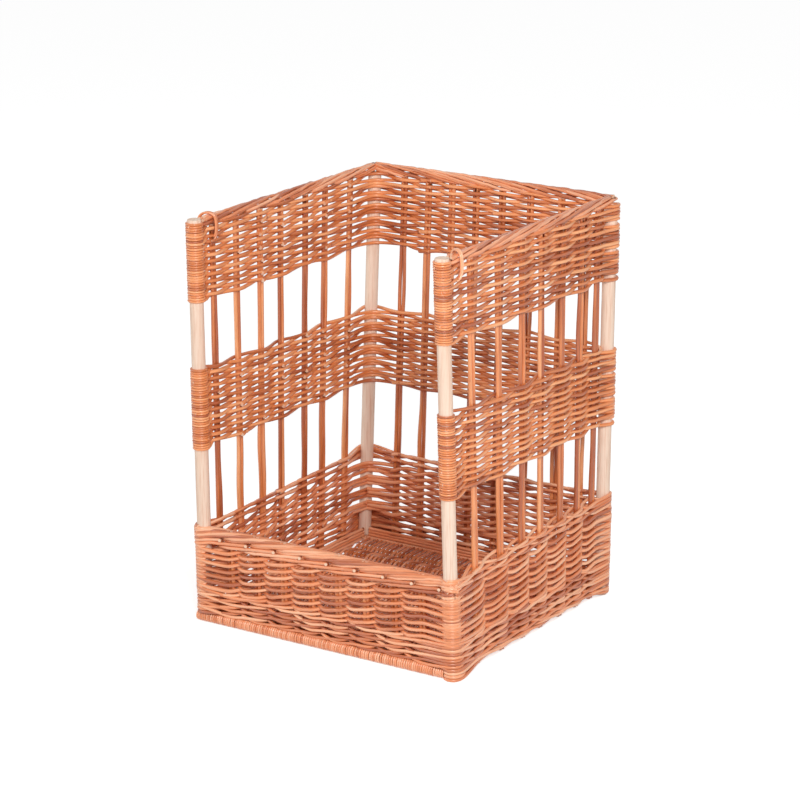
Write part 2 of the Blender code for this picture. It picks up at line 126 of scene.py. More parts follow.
def post_at(corner, height):
    return along_axis(POST_AXES[corner], height)


def wall_at(wall, height):
    """Start, direction along, direction outward and length of a wall's middle line at a height."""
    first, last = WALLS[wall]
    start = post_at(first, height)
    run = post_at(last, height) - start
    along = run.normalized()
    return start, along, Vector((-along.y, along.x, 0)), run.length


def stake_distances(wall, height):
    start, along, _, _ = wall_at(wall, height)
    return [(along_axis(axis, height) - start).dot(along) for axis in STAKE_AXES[wall]]


# Settings that a user would change


def length_setting(name, default, description):
    return bpy.props.FloatProperty(name=name, description=description, default=default, unit="LENGTH")


def colour_setting(name, default, description):
    return bpy.props.FloatVectorProperty(
        name=name, description=description, default=default, subtype="COLOR", size=3
    )


def angle_setting(name, degrees, description):
    return bpy.props.FloatProperty(
        name=name, description=description, default=math.radians(degrees), subtype="ANGLE"
    )


def number_setting(name, default, description):
    return bpy.props.FloatProperty(name=name, description=description, default=default)


class StandRods(bpy.types.PropertyGroup):
    """Thicknesses of the rods and how unevenly they lie."""

    post_diameter: length_setting("Post", 0.0198, "Diameter of the corner posts")
    stake_diameter: length_setting("Stake", 0.0060, "Diameter of each rod in a stake pair")
    band_rod: length_setting("Band rod", 0.0053, "Diameter of the rods woven into the bands")
    band_row: length_setting("Band row", 0.0047, "Height of one woven row of the bands")
    ring_rod: length_setting("Ring rod", 0.0036, "Diameter of the rods where they ring the front posts")
    tray_rod: length_setting("Tray rod", 0.0055, "Diameter of the rods woven into the tray")
    tray_row: length_setting("Tray row", 0.0050, "Height of one woven row of the tray")
    wale_rod: length_setting("Wale rod", 0.0049, "Diameter of the rods of the tray's wales")
    border_rod: length_setting("Border rod", 0.0052, "Diameter of the rods of the borders")
    base_strand: length_setting("Base strand", 0.0033, "Diameter of the strands of the base")
    tie_rod: length_setting("Tie", 0.0034, "Diameter of the rods that tie down the border")
    droop: length_setting("Droop", 0.005, "How far the bands hang down away from the front posts")
    tray_tilt: length_setting("Tray tilt", 0.008, "How much higher the tray's edge is at the back")
    sway: length_setting("Sway", 0.0005, "How far a woven rod strays up and down")
    sides: bpy.props.IntProperty(name="Sides", description="Sides of a woven rod", default=8, min=5, max=24)
    seed: bpy.props.IntProperty(name="Seed", description="Seed of the hand-made unevenness", default=7)


class StandFinish(bpy.types.PropertyGroup):
    """Colours of the willow and the posts."""

    willow_dark: colour_setting("Dark willow", (0.42, 0.105, 0.038), "Darkest rods")
    willow: colour_setting("Willow", (0.80, 0.285, 0.118), "Most rods")
    willow_light: colour_setting("Light willow", (0.95, 0.47, 0.275), "Palest rods")
    cut_end: colour_setting("Cut end", (0.86, 0.58, 0.40), "Wood of a cut rod's end")
    post_wood: colour_setting("Post wood", (0.92, 0.71, 0.565), "Peeled wood of the posts")
    post_grain: colour_setting("Post grain", (0.74, 0.45, 0.31), "Grain of the posts")


class StandStudio(bpy.types.PropertyGroup):
    """Camera and light."""

    azimuth: angle_setting("Azimuth", 33.28, "Camera's turn round the stand")
    elevation: angle_setting("Elevation", 16.49, "Camera's height angle")
    distance: length_setting("Distance", 4.366, "Camera's distance from its target")
    target: bpy.props.FloatVectorProperty(
        name="Target",
        description="Point the camera looks at",
        default=(-0.0127, 0.0034, 0.3132),
        subtype="XYZ",
        size=3,
    )
    lens: number_setting("Lens", 136.55, "Focal length in mm")
    key_power: number_setting("Key light", 64.0, "Power of the key light in W")
    fill_power: number_setting("Fill light", 16.0, "Power of the fill light in W")
    sky: number_setting("Sky", 0.37, "Strength of the light from all round")


def rods_settings():
    return bpy.context.scene.stand_rods


# Rod paths


def smooth_path(points, step):
    """A smooth line through the points, as samples about a step apart."""
    p = np.array([tuple(point) for point in points])
    chords = np.maximum(np.linalg.norm(np.diff(p, axis=0), axis=1), 1e-6)
    knots = np.concatenate([[0.0], np.cumsum(chords**0.7)])
    gaps = np.diff(knots)[:, None]
    slopes = np.diff(p, axis=0) / gaps
    tangents = np.empty_like(p)
    tangents[1:-1] = (slopes[:-1] * gaps[1:] + slopes[1:] * gaps[:-1]) / (gaps[1:] + gaps[:-1])
    tangents[0] = slopes[0]
    tangents[-1] = slopes[-1]
    samples = []
    for i, chord in enumerate(chords):
        count = max(1, int(round(chord / step)))
        t = (np.arange(count) / count)[:, None]
        h00 = 2 * t**3 - 3 * t**2 + 1
        h10 = t**3 - 2 * t**2 + t
        h01 = -2 * t**3 + 3 * t**2
        h11 = t**3 - t**2
        gap = gaps[i]
        samples.append(h00 * p[i] + h10 * gap * tangents[i] + h01 * p[i + 1] + h11 * gap * tangents[i + 1])
    samples.append(p[-1:])
    return np.concatenate(samples)


class Bundle:
    """Rods that make one piece: for each, its points, its radius at each point and its tone."""

    def __init__(self, seed):
        self.rods = []
        self.rng = random.Random(seed)

    def add(self, points, radius, tone=None, taper=0.0, step=4.5 * MM, smooth=True, girth=1.0, cut=0.0):
        """Adds a rod. Taper is the share of its thickness that it loses from start to end.

        Girth scales the thickness at each point of a line that isn't smoothed. Cut is the length of the part
        at its end that shows bare wood."""
        line = smooth_path(points, step) if smooth else np.array([tuple(point) for point in points])
        travelled = np.concatenate([[0.0], np.cumsum(np.linalg.norm(np.diff(line, axis=0), axis=1))])
        share = travelled / travelled[-1]
        radii = radius * (1 + taper * (0.5 - share)) * girth
        tip = np.zeros(len(line))
        tip[0] = tip[-1] = 1.0
        line, radii, travelled, tip = cut_square(line, radii, travelled, tip)
        if cut:
            tip = np.maximum(tip, travelled[-1] - travelled < cut)
        if tone is None:
            tone = self.rng.random()
        self.rods.append((line, radii, travelled, tip, tone, self.rng.random() * 50))

    def add_row(self, line, radius, inward, joins, girth):
        """Adds a long woven row as rods that follow each other and overlap at the joins, behind a stake."""
        edges = [0, *joins, len(line) - 1]
        for first, last in zip(edges, edges[1:]):
            low = max(first - 2, 0)
            high = min(last + 2, len(line) - 1)
            if high - low < 6:
                continue
            piece = line[low : high + 1].copy()
            if first:
                for i, depth in enumerate((2.9, 2.2, 1.0)):
                    piece[i] += inward[low + i] * depth * MM
                    piece[i][2] -= 0.5 * depth * MM
            if last != len(line) - 1:
                for i, depth in enumerate((1.6, 0.8)):
                    piece[-1 - i] += inward[high - i] * depth * MM
            thickness = radius * self.rng.uniform(0.93, 1.08)
            taper = self.rng.uniform(0.1, 0.3)
            self.add(piece, thickness, taper=taper, smooth=False, girth=girth[low : high + 1])


def cut_square(line, radii, travelled, tip):
    """Adds a point close to the rod's start, so that only its end face counts as cut wood there.

    The last point but one is doubled, and the bare wood fades in over the step that follows it."""
    share = min(0.4, 0.35 * MM / max(np.linalg.norm(line[1] - line[0]), 1e-6))
    line = np.insert(line, 1, line[0] + (line[1] - line[0]) * share, axis=0)
    radii = np.insert(radii, 1, radii[0])
    travelled = np.insert(travelled, 1, travelled[1] * share)
    tip = np.insert(tip, 1, 0.0)
    line = np.insert(line, -1, line[-2], axis=0)
    radii = np.insert(radii, -1, radii[-2])
    travelled = np.insert(travelled, -1, travelled[-2])
    return line, radii, travelled, np.insert(tip, -1, 0.0)


# Nodes


def set_inputs(tree, node, inputs):
    """Links a node's inputs to sockets or gives them values, by their name or number."""
    for key, value in inputs.items():
        if isinstance(value, bpy.types.NodeSocket):
            tree.links.new(value, node.inputs[key])
        else:
            node.inputs[key].default_value = value


def add_node(tree, kind, inputs=None, **settings):
    node = tree.nodes.new(kind)
    for name, value in settings.items():
        setattr(node, name, value)
    set_inputs(tree, node, inputs or {})
    return node


def math_node(tree, operation, *values, clamp=False):
    node = add_node(tree, "ShaderNodeMath", dict(enumerate(values)), operation=operation, use_clamp=clamp)
    return node.outputs[0]


def new_group(name, kind, inputs, outputs):
    """A node group with its sockets, the sockets of its entry and the node where it ends."""
    group = bpy.data.node_groups.new(name, kind)
    for label, value_kind, default in inputs:
        socket = group.interface.new_socket(name=label, in_out="INPUT", socket_type="NodeSocket" + value_kind)
        if default is not None:
            socket.default_value = default
    for label, value_kind in outputs:
        group.interface.new_socket(name=label, in_out="OUTPUT", socket_type="NodeSocket" + value_kind)
    return group, group.nodes.new("NodeGroupInput").outputs, group.nodes.new("NodeGroupOutput")


# The tree that turns paths into rods


def rod_tree():
    """Geometry Nodes: each edge line becomes a rod of its own radius, slightly knotty, with closed ends."""
    found = bpy.data.node_groups.get("Willow rods")
    if found:
        return found
    inputs = [
        ("Paths", "Geometry", None),
        ("Sides", "Int", 8),
        ("Unevenness", "Float", 0.1),
        ("Seed", "Float", 0.0),
        ("Material", "Material", None),
    ]
    tree, entry, leave = new_group("Willow rods", "GeometryNodeTree", inputs, [("Rods", "Geometry")])
    curve = add_node(tree, "GeometryNodeMeshToCurve", {"Mesh": entry["Paths"]})
    radius = add_node(tree, "GeometryNodeInputNamedAttribute", {"Name": "rod_radius"}, data_type="FLOAT")
    lump_inputs = {"W": entry["Seed"], "Scale": 55.0, "Detail": 1.0}
    lumps = add_node(tree, "ShaderNodeTexNoise", lump_inputs, noise_dimensions="4D")
    centred = math_node(tree, "SUBTRACT", lumps.outputs["Fac"], 0.5)
    swell = math_node(tree, "MULTIPLY_ADD", centred, entry["Unevenness"], 1.0)
    girth = math_node(tree, "MULTIPLY", radius.outputs["Attribute"], swell)
    circle = add_node(tree, "GeometryNodeCurvePrimitiveCircle", {"Resolution": entry["Sides"], "Radius": 1.0})
    place = add_node(tree, "GeometryNodeInputPosition").outputs["Position"]
    side_inputs = {"Geometry": circle.outputs["Curve"], "Name": "rod_side", "Value": place}
    side = add_node(tree, "GeometryNodeStoreNamedAttribute", side_inputs, data_type="FLOAT_VECTOR")
    sweep_inputs = {
        "Curve": curve.outputs["Curve"],
        "Profile Curve": side.outputs["Geometry"],
        "Scale": girth,
        "Fill Caps": True,
    }
    sweep = add_node(tree, "GeometryNodeCurveToMesh", sweep_inputs)
    shade = add_node(tree, "GeometryNodeSetShadeSmooth", {"Geometry": sweep.outputs["Mesh"]})
    realize = add_node(tree, "GeometryNodeRealizeInstances", {"Geometry": shade.outputs["Geometry"]})
    finish_inputs = {"Geometry": realize.outputs["Geometry"], "Material": entry["Material"]}
    finish = add_node(tree, "GeometryNodeSetMaterial", finish_inputs)
    set_inputs(tree, leave, {"Rods": finish.outputs["Geometry"]})
    return tree


def socket_id(tree, name):
    """The key of a tree's input in its modifier."""
    inputs = [item for item in tree.interface.items_tree if item.in_out == "INPUT"]
    return next(item.identifier for item in inputs if item.name == name)


def make_rods(name, bundle, part, sides, unevenness, replaced):
    """Turns a bundle's paths into one mesh piece that stands for nodes of the frame."""
    points = np.concatenate([rod[0] for rod in bundle.rods])
    edges = []
    start = 0
    for rod in bundle.rods:
        edges += [(start + i, start + i + 1) for i in range(len(rod[0]) - 1)]
        start += len(rod[0])
    mesh = bpy.data.meshes.new(name + "_paths")
    mesh.from_pydata(points.tolist(), edges, [])
    columns = {
        "rod_radius": [rod[1] for rod in bundle.rods],
        "rod_along": [rod[2] + rod[5] for rod in bundle.rods],
        "rod_tip": [rod[3] for rod in bundle.rods],
        "rod_tone": [np.full(len(rod[0]), rod[4]) for rod in bundle.rods],
    }
    for label, values in columns.items():
        attribute = mesh.attributes.new(label, "FLOAT", "POINT")
        attribute.data.foreach_set("value", np.concatenate(values).astype(np.float32))
    source = bpy.data.objects.new(name + "_paths", mesh)
    bpy.context.scene.collection.objects.link(source)
    tree = rod_tree()
    modifier = source.modifiers.new("Rods", "NODES")
    modifier.node_group = tree
    modifier[socket_id(tree, "Sides")] = sides
    modifier[socket_id(tree, "Unevenness")] = unevenness
    modifier[socket_id(tree, "Seed")] = float(rods_settings().seed)
    modifier[socket_id(tree, "Material")] = stand_material(part)
    bpy.context.view_layer.update()
    graph = bpy.context.evaluated_depsgraph_get()
    made = bpy.data.meshes.new_from_object(source.evaluated_get(graph), depsgraph=graph)
    made.name = name
    source.modifiers.remove(modifier)
    bpy.data.objects.remove(source)
    piece = bpy.data.objects.new(name, made)
    bpy.context.scene.collection.objects.link(piece)
    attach(piece, "root")
    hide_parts(*replaced)
    return piece


# Materials


# For each part of willow, how strong its dark streaks are, and what its red, green and blue are multiplied by
WILLOW_PARTS = {
    "stakes": (0.65, (0.98, 0.88, 0.66)),
    "bands": (0.5, (1.06, 0.98, 0.74)),
    "tray": (0.5, (1.12, 1.12, 1.1)),
    "base": (0.4, (1.08, 1.08, 1.08)),
    "borders": (0.35, (1.1, 1.1, 1.1)),
    "ties": (0.2, (1.1, 1.15, 1.15)),
}


def mix_colour(tree, factor, first, second):
    inputs = {"Factor": factor, 6: first, 7: second}
    return add_node(tree, "ShaderNodeMix", inputs, data_type="RGBA").outputs[2]


def rod_value(tree, name, output="Fac"):
    """A value that the rods carry."""
    return add_node(tree, "ShaderNodeAttribute", attribute_name=name).outputs[output]


def noise(tree, vector, scale, detail, distortion=0.0):
    inputs = {"Vector": vector, "Scale": scale, "Detail": detail, "Distortion": distortion}
    return add_node(tree, "ShaderNodeTexNoise", inputs).outputs["Fac"]


def map_range(tree, value, low, high, to_low=0.0, to_high=1.0):
    inputs = {"Value": value, "From Min": low, "From Max": high, "To Min": to_low, "To Max": to_high}
    return add_node(tree, "ShaderNodeMapRange", inputs).outputs[0]


def bump(tree, height, strength, depth):
    inputs = {"Height": height, "Strength": strength, "Distance": depth}
    return add_node(tree, "ShaderNodeBump", inputs).outputs["Normal"]


def bark_group():
    """Colour, roughness and height of a willow rod's skin, from its own length and its way round."""
    found = bpy.data.node_groups.get("Willow skin")
    if found:
        return found
    inputs = [(label, "Color", None) for label in ("Dark", "Middle", "Light", "Cut end")]
    inputs.append(("Streaks", "Float", 0.5))
    outputs = [("Colour", "Color"), ("Roughness", "Float"), ("Height", "Float")]
    tree, entry, leave = new_group("Willow skin", "ShaderNodeTree", inputs, outputs)
    along = rod_value(tree, "rod_along")
    side = add_node(tree, "ShaderNodeSeparateXYZ", {0: rod_value(tree, "rod_side", "Vector")}).outputs

    def rod_noise(round_scale, long_scale, detail, distortion=0.0):
        place = {axis: math_node(tree, "MULTIPLY", side[axis], round_scale) for axis in (0, 1)}
        place[2] = math_node(tree, "MULTIPLY", along, long_scale)
        joined = add_node(tree, "ShaderNodeCombineXYZ", place)
        return noise(tree, joined.outputs[0], 1.0, detail, distortion)

    drift = rod_noise(0.35, 9.0, 2.0)
    streak = rod_noise(3.2, 26.0, 4.0, 0.4)
    fine = rod_noise(6.5, 95.0, 3.0)
    # The rod's own tone, drifting slowly along it
    wander = math_node(tree, "MULTIPLY", math_node(tree, "SUBTRACT", drift, 0.5), 1.5)
    shade = math_node(tree, "ADD", rod_value(tree, "rod_tone"), wander, clamp=True)
    first = math_node(tree, "MULTIPLY", shade, 2.0, clamp=True)
    second = math_node(tree, "MULTIPLY", math_node(tree, "SUBTRACT", shade, 0.5), 2.0, clamp=True)
    base = mix_colour(tree, first, entry["Dark"], entry["Middle"])
    base = mix_colour(tree, second, base, entry["Light"])
    # Darker lengthwise streaks and small bud marks
    dark_streak = map_range(tree, streak, 0.50, 0.72)
    base = mix_colour(tree, math_node(tree, "MULTIPLY", dark_streak, entry["Streaks"]), base, entry["Dark"])
    buds = add_node(tree, "ShaderNodeTexVoronoi", {"W": along, "Scale": 16.0}, voronoi_dimensions="1D")
    bud = math_node(tree, "MULTIPLY", map_range(tree, buds.outputs["Distance"], 0.035, 0.0), dark_streak)
    base = mix_colour(tree, math_node(tree, "MULTIPLY", bud, 0.6), base, entry["Dark"])
    # The end face shows paler wood
    base = mix_colour(tree, map_range(tree, rod_value(tree, "rod_tip"), 0.85, 0.99), base, entry["Cut end"])
    roughness = map_range(tree, fine, 0.0, 1.0, 0.22, 0.40)
    height = math_node(tree, "ADD", streak, math_node(tree, "MULTIPLY", fine, 0.5))
    height = math_node(tree, "ADD", height, bud)
    set_inputs(tree, leave, {"Colour": base, "Roughness": roughness, "Height": height})
    return tree


def colour4(colour):
    return (colour[0], colour[1], colour[2], 1.0)


def new_material(name):
    """A material with its tree and its shader."""
    material = bpy.data.materials.new(name)
    material.use_nodes = True
    return material, material.node_tree, material.node_tree.nodes["Principled BSDF"]


def willow_material(name, streaks, tint):
    """Satin willow skin. Tint multiplies the red, green and blue of the rods' tones."""
    finish = bpy.context.scene.stand_finish
    material, tree, shader = new_material(name)
    inputs = {"Cut end": colour4(finish.cut_end), "Streaks": streaks}
    tones = {"Dark": finish.willow_dark, "Middle": finish.willow, "Light": finish.willow_light}
    for label, tone in tones.items():
        inputs[label] = colour4([min(1.0, value * share) for value, share in zip(tone, tint)])
    skin = add_node(tree, "ShaderNodeGroup", inputs, node_tree=bark_group()).outputs
    surface = {
        "Base Color": skin["Colour"],
        "Roughness": skin["Roughness"],
        "Normal": bump(tree, skin["Height"], 0.35, 0.25 * MM),
        "Specular IOR Level": 0.8,
    }
    set_inputs(tree, shader, surface)
    return material


def post_material(name):
    """Peeled, sanded wood with fine grain along the post."""
    finish = bpy.context.scene.stand_finish
    material, tree, shader = new_material(name)
    place = add_node(tree, "ShaderNodeTexCoord").outputs["Object"]
    stretch = add_node(tree, "ShaderNodeMapping", {"Vector": place, "Scale": (1.0, 1.0, 0.05)}).outputs[0]
    grain = noise(tree, stretch, 420.0, 4.0)
    patch = noise(tree, stretch, 60.0, 2.0)
    dark = colour4(finish.post_grain)
    wood = mix_colour(tree, map_range(tree, grain, 0.45, 0.75, 0.0, 0.8), colour4(finish.post_wood), dark)
    wood = mix_colour(tree, map_range(tree, patch, 0.45, 0.8, 0.0, 0.5), wood, dark)
    surface = {
        "Base Color": wood,
        "Roughness": map_range(tree, grain, 0.0, 1.0, 0.45, 0.65),
        "Normal": bump(tree, grain, 0.2, 0.2 * MM),
    }
    set_inputs(tree, shader, surface)
    return material


def stand_material(part):
    """The material of the posts, or the willow of another part, made once."""
    name = "Peeled post wood" if part == "posts" else f"Willow of the {part}"
    found = bpy.data.materials.get(name)
    if found:
        return found
    return post_material(name) if part == "posts" else willow_material(name, *WILLOW_PARTS[part])


# Weaving


def ring_points(corner, height, radius, first, last, tilt, count):
    """Points of a turn round a post from one angle to another, tilted a little. Its start is tucked in."""
    centre = post_at(corner, height)
    points = []
    for i in range(count + 1):
        angle = first + (last - first) * i / count
        sunk = 1.0 if i else 0.86
        rise = tilt * math.sin(angle)
        points.append(centre + Vector((math.cos(angle), math.sin(angle), 0)) * radius * sunk + UP * rise)
    return points


def turned(direction, degrees):
    """A level direction turned clockwise, seen from above."""
    return Matrix.Rotation(-math.radians(degrees), 3, "Z") @ direction


def corner_points(first_wall, corner, height, radius, side):
    """Points of a rod that passes a corner outside or inside its post."""
    _, _, out, _ = wall_at(first_wall, height)
    centre = post_at(corner, height)
    turns = (8, 45, 82) if side == OUTSIDE else (45,)
    return [centre + turned(out, turn) * radius * side for turn in turns]


def wall_run(bundle, wall, place, height_of, side_of, grip, lap=0.0):
    """Points along one wall, past each stake and half way between them, and on which side each lies.

    height_of and side_of take a place counted in stakes and posts; place is the post where the wall starts.
    Lap is how far a rod that comes out lies in front of one that goes in, half way between two stakes."""
    rods = rods_settings()
    points = []
    marks = []
    distances = stake_distances(wall, height_of(place + 0.5))
    for number, distance in enumerate(distances):
        here = place + 1 + number
        stray = UP * bundle.rng.gauss(0, rods.sway)
        side = side_of(here)
        for nudge in (-1, 1):
            start, along, out, _ = wall_at(wall, height_of(here + 0.06 * nudge))
            points.append(start + along * (distance + nudge * 2.6 * MM) + out * side * grip + stray)
            marks.append(side)
        if number < len(distances) - 1:
            start, along, out, _ = wall_at(wall, height_of(here + 0.5))
            after = side_of(here + 1)
            between = (side + after) / 2 * 0.9 * grip + (side - after) / 2 * lap
            stray = UP * bundle.rng.gauss(0, rods.sway)
            points.append(start + along * (distance + distances[number + 1]) / 2 + out * between + stray)
            marks.append(0)
    return points, marks


def band_row(bundle, row, course, ring_height, walls):
    """A rod of a band: round a front post, past the stakes and back posts, and round the other front post."""
    rods = rods_settings()
    rng = bundle.rng
    turn_radius = (rods.post_diameter + rods.band_rod) / 2 - TURN_SUNK
    ring_radius = (rods.post_diameter + rods.ring_rod) / 2 - RING_SUNK
    grip = (rods.stake_diameter + rods.band_rod) / 2
    height_of, side_of = course
    _, along, _, _ = wall_at(walls[0], height_of(0))
    ahead = math.atan2(along.y, along.x)
    side = -side_of(1)
    leave = ahead + side * math.pi / 2
    tilt = rng.gauss(0, 0.25 * MM)
    first_corner = WALLS[walls[0]][0]
    points = ring_points(first_corner, ring_height, ring_radius, leave + side * RING_TURN, leave, tilt, 12)
    marks = [0] * len(points)
    place = 0
    for number, wall in enumerate(walls):
        more_points, more_marks = wall_run(bundle, wall, place, height_of, side_of, grip)
        points += more_points
        marks += more_marks
        place += len(STAKE_AXES[wall]) + 1
        if number < len(walls) - 1:
            rare = row % (4 + 4 * number) == 1
            side = OUTSIDE if rare == (number == 0) else INSIDE
            for point in corner_points(wall, WALLS[wall][1], height_of(place), turn_radius, side):
                points.append(point + UP * rng.gauss(0, rods.sway))
                marks.append(0)
    _, along, _, _ = wall_at(walls[-1], height_of(place))
    ahead = math.atan2(along.y, along.x)
    side = -side_of(place - 1)
    arrive = ahead + side * math.pi / 2
    tilt = rng.gauss(0, 0.25 * MM)
    last_corner = WALLS[walls[-1]][1]
    ring = ring_points(last_corner, ring_height, ring_radius, arrive - side * RING_TURN, arrive, tilt, 12)
    points += ring[::-1]
    marks += [0] * len(ring)
    return points, marks


def plain_course(height, row, droop, last):
    """A rod that passes outside and inside the stakes in turn, and droops between its two ends."""

    def height_of(place):
        away = max(0.0, min(place, last - place, 4)) / 4
        return height - droop * away * (2 - away)

    return height_of, lambda place: OUTSIDE if (place + row) % 2 else INSIDE


def paired_course(height, rise, row):
    """One of two rods that cross in each bay: it climbs rightwards outside a stake, and drops inside one."""

    def height_of(place):
        turn = (row - place) / 2 % 1.0
        climb = 4 * turn if turn < 0.25 else (2 - 4 * turn if turn < 0.75 else 4 * turn - 4)
        return height + rise / 2 * climb

    return height_of, lambda place: OUTSIDE if (place + row) % 2 == 0 else INSIDE


def waled_course(height, rise, phase):
    """One of three rods: it climbs rightwards outside two stakes and drops inside the third."""

    def height_of(place):
        turn = (phase - place) / 3 % 1.0
        return height + rise * (1.5 * turn if turn <= 2 / 3 else 3 * (1 - turn))

    return height_of, lambda place: INSIDE if (phase - place) % 3 == 2 else OUTSIDE


def inward_of(line):
    """For each sample of a row, the level direction towards the stand's middle."""
    inward = -line.copy()
    inward[:, 2] = 0
    return inward / np.linalg.norm(inward, axis=1)[:, None]


def ring_girth(line, share):
    """For each sample of a row, the share of its thickness that it keeps, which is less at a front post."""
    reach = rods_settings().post_diameter / 2 + 3 * MM
    girth = np.ones(len(line))
    for corner in ("front_left", "front_right"):
        centre = np.array(post_at(corner, line[0][2]))
        away = np.linalg.norm(line[:, :2] - centre[:2], axis=1)
        girth = np.minimum(girth, np.clip(share + (away - reach) / (12 * MM), share, 1.0))
    return girth


def joins_of(bundle, points, marks, line, length):
    """Samples where one rod ends behind a stake and the next begins, about a rod's length apart."""
    inner = [point for point, mark in zip(points, marks) if mark == INSIDE]
    travelled = np.concatenate([[0.0], np.cumsum(np.linalg.norm(np.diff(line, axis=0), axis=1))])
    joins = []
    mark = length * bundle.rng.uniform(0.25, 1.0)
    while mark < travelled[-1] - 0.1:
        at = line[int(np.searchsorted(travelled, mark))]
        nearest = min(inner, key=lambda point: (point.x - at[0]) ** 2 + (point.y - at[1]) ** 2)
        index = int(np.argmin(np.linalg.norm(line - np.array(nearest), axis=1)))
        if 12 < index < len(line) - 12 and (not joins or index > joins[-1] + 12):
            joins.append(index)
        mark += length * bundle.rng.uniform(0.75, 1.15)
    return joins


def weave_band(name, node, seed):
    """A band: its rows and the extra turns that fill the front posts."""
    rods = rods_settings()
    bundle = Bundle(seed)
    low, high = span(node)
    rod = rods.band_rod
    ring_rod = rods.ring_rod
    top = high if node == "middle_band" else TOP_BAND_TOP + 2.5 * MM
    rows = round((top - low) / rods.band_row)
    rings = round((high - low) / ring_rod)
    pitch = (top - low - rod) / (rows - 1)
    ring_pitch = (high - low - ring_rod) / (rings - 1)
    places = sum(len(STAKE_AXES[wall]) + 1 for wall in OPEN_WALLS)
    used = set()
    for row in range(rows):
        height = low + rod / 2 + row * pitch
        ring = round((height - low - rod / 2) / ring_pitch)
        used.add(ring)
        ring_height = low + ring_rod / 2 + ring * ring_pitch
        share = row / (rows - 1)
        droop = rods.droop * (0.4 + 0.6 * share if node == "middle_band" else 1 - share)
        course = plain_course(height, row, droop, places)
        points, marks = band_row(bundle, row, course, ring_height, OPEN_WALLS)
        line = smooth_path(points, 4.5 * MM)
        joins = joins_of(bundle, points, marks, line, BAND_LENGTH)
        bundle.add_row(line, rod / 2, inward_of(line), joins, ring_girth(line, RING_SHARE * ring_rod / rod))
    for ring in range(rings):
        if ring in used:
            continue
        for corner in ("front_left", "front_right"):
            start = bundle.rng.uniform(0, 2 * math.pi)
            height = low + ring_rod / 2 + ring * ring_pitch
            radius = (rods.post_diameter + ring_rod) / 2 - RING_SUNK
            points = ring_points(corner, height, radius, start, start + 2 * math.pi, 0.2 * MM, 16)
            bundle.add(points, RING_SHARE * ring_rod / 2, tone=bundle.rng.uniform(0.4, 0.7))
    return make_rods(name, bundle, "bands", rods.sides, 0.10, [node])


class STAND_OT_posts(bpy.types.Operator):
    """Corner posts of peeled round wood with softened ends"""

    bl_idname = "stand.posts"
    bl_label = "Posts"

    def execute(self, context):
        rods = rods_settings()
        bundle = Bundle(rods.seed)
        radius = rods.post_diameter / 2
        ease = 1.6 * MM
        for corner in CORNERS:
            foot, head = POST_AXES[corner]
            up = (head - foot).normalized()
            foot = foot + up * 0.55 * MM
            count = 60
            line = [foot + up * ease * (1 - math.cos(math.pi * i / 8)) for i in range(4)]
            length = (head - foot).length
            inner = [foot + up * (ease + (length - 2 * ease) * i / count) for i in range(count + 1)]
            line += inner + [head - up * ease * (1 - math.cos(math.pi * (3 - i) / 8)) for i in range(4)]
            bundle.add(line, radius, smooth=False)
            points, radii, travelled, tip, tone, offset = bundle.rods[-1]
            ends = np.minimum(travelled, travelled[-1] - travelled)
            rounded = np.sqrt(np.clip(1 - (1 - np.clip(ends / ease, 0, 1)) ** 2, 0, 1))
            radii = radius - ease * (1 - rounded)
            bundle.rods[-1] = (points, radii, travelled, tip, tone, offset)
        nodes = ["post_" + corner for corner in CORNERS]
        make_rods("posts", bundle, "posts", 40, 0.04, nodes)
        return {"FINISHED"}


class STAND_OT_stakes(bpy.types.Operator):
    """Pairs of upright willow rods that sway a little where they stand free"""

    bl_idname = "stand.stakes"
    bl_label = "Stakes"

    def execute(self, context):
        rods = rods_settings()
        radius = rods.stake_diameter / 2
        for wall in WALLS:
            bundle = Bundle(rods.seed + len(wall))
            names = [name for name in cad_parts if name.startswith(f"stake_pair_{wall}_")]
            for axis in STAKE_AXES[wall]:
                foot, head = axis
                steps = max(4, int((head.z - foot.z) / 0.055))
                for half in (-1, 1):
                    phase = bundle.rng.uniform(0, 2 * math.pi)
                    points = []
                    for i in range(steps + 1):
                        height = foot.z + (head.z - foot.z) * i / steps
                        _, along, out, _ = wall_at(wall, height)
                        free = free_share(height)
                        apart = radius * 0.98 + bundle.rng.uniform(0, 0.5 * MM) * free
                        sway = math.sin(phase + height * 21) * 0.7 * MM * free
                        bow = sway + bundle.rng.gauss(0, 0.5 * MM) * free
                        lean = bundle.rng.gauss(0, 0.3 * MM) * free
                        points.append(along_axis(axis, height) + along * (half * apart + bow) + out * lean)
                    bundle.add(points, radius * bundle.rng.uniform(0.92, 1.06), taper=0.12, step=9 * MM)
            make_rods(f"{wall}_stakes", bundle, "stakes", 10, 0.08, names)
        return {"FINISHED"}


def free_share(height):
    """1 where the stakes stand free between woven zones, falling to 0 inside them."""
    fade = 0.02
    share = 1.0
    for node in ("tray_weave", "middle_band", "top_band"):
        low, high = span(node)
        low = 0.0 if node == "tray_weave" else low
        inside = min(height - low, high - height)
        share = min(share, max(0.0, min(1.0, -inside / fade)))
    return share


class STAND_OT_middle_band(bpy.types.Operator):
    """Woven band half way up the left, back and right walls"""

    bl_idname = "stand.middle_band"
    bl_label = "Middle band"

    def execute(self, context):
        weave_band("woven_middle_band", "middle_band", rods_settings().seed + 11)
        return {"FINISHED"}


class STAND_OT_top_band(bpy.types.Operator):
    """Woven band at the top of the left, back and right walls"""

    bl_idname = "stand.top_band"
    bl_label = "Top band"

    def execute(self, context):
        weave_band("woven_top_band", "top_band", rods_settings().seed + 23)
        return {"FINISHED"}


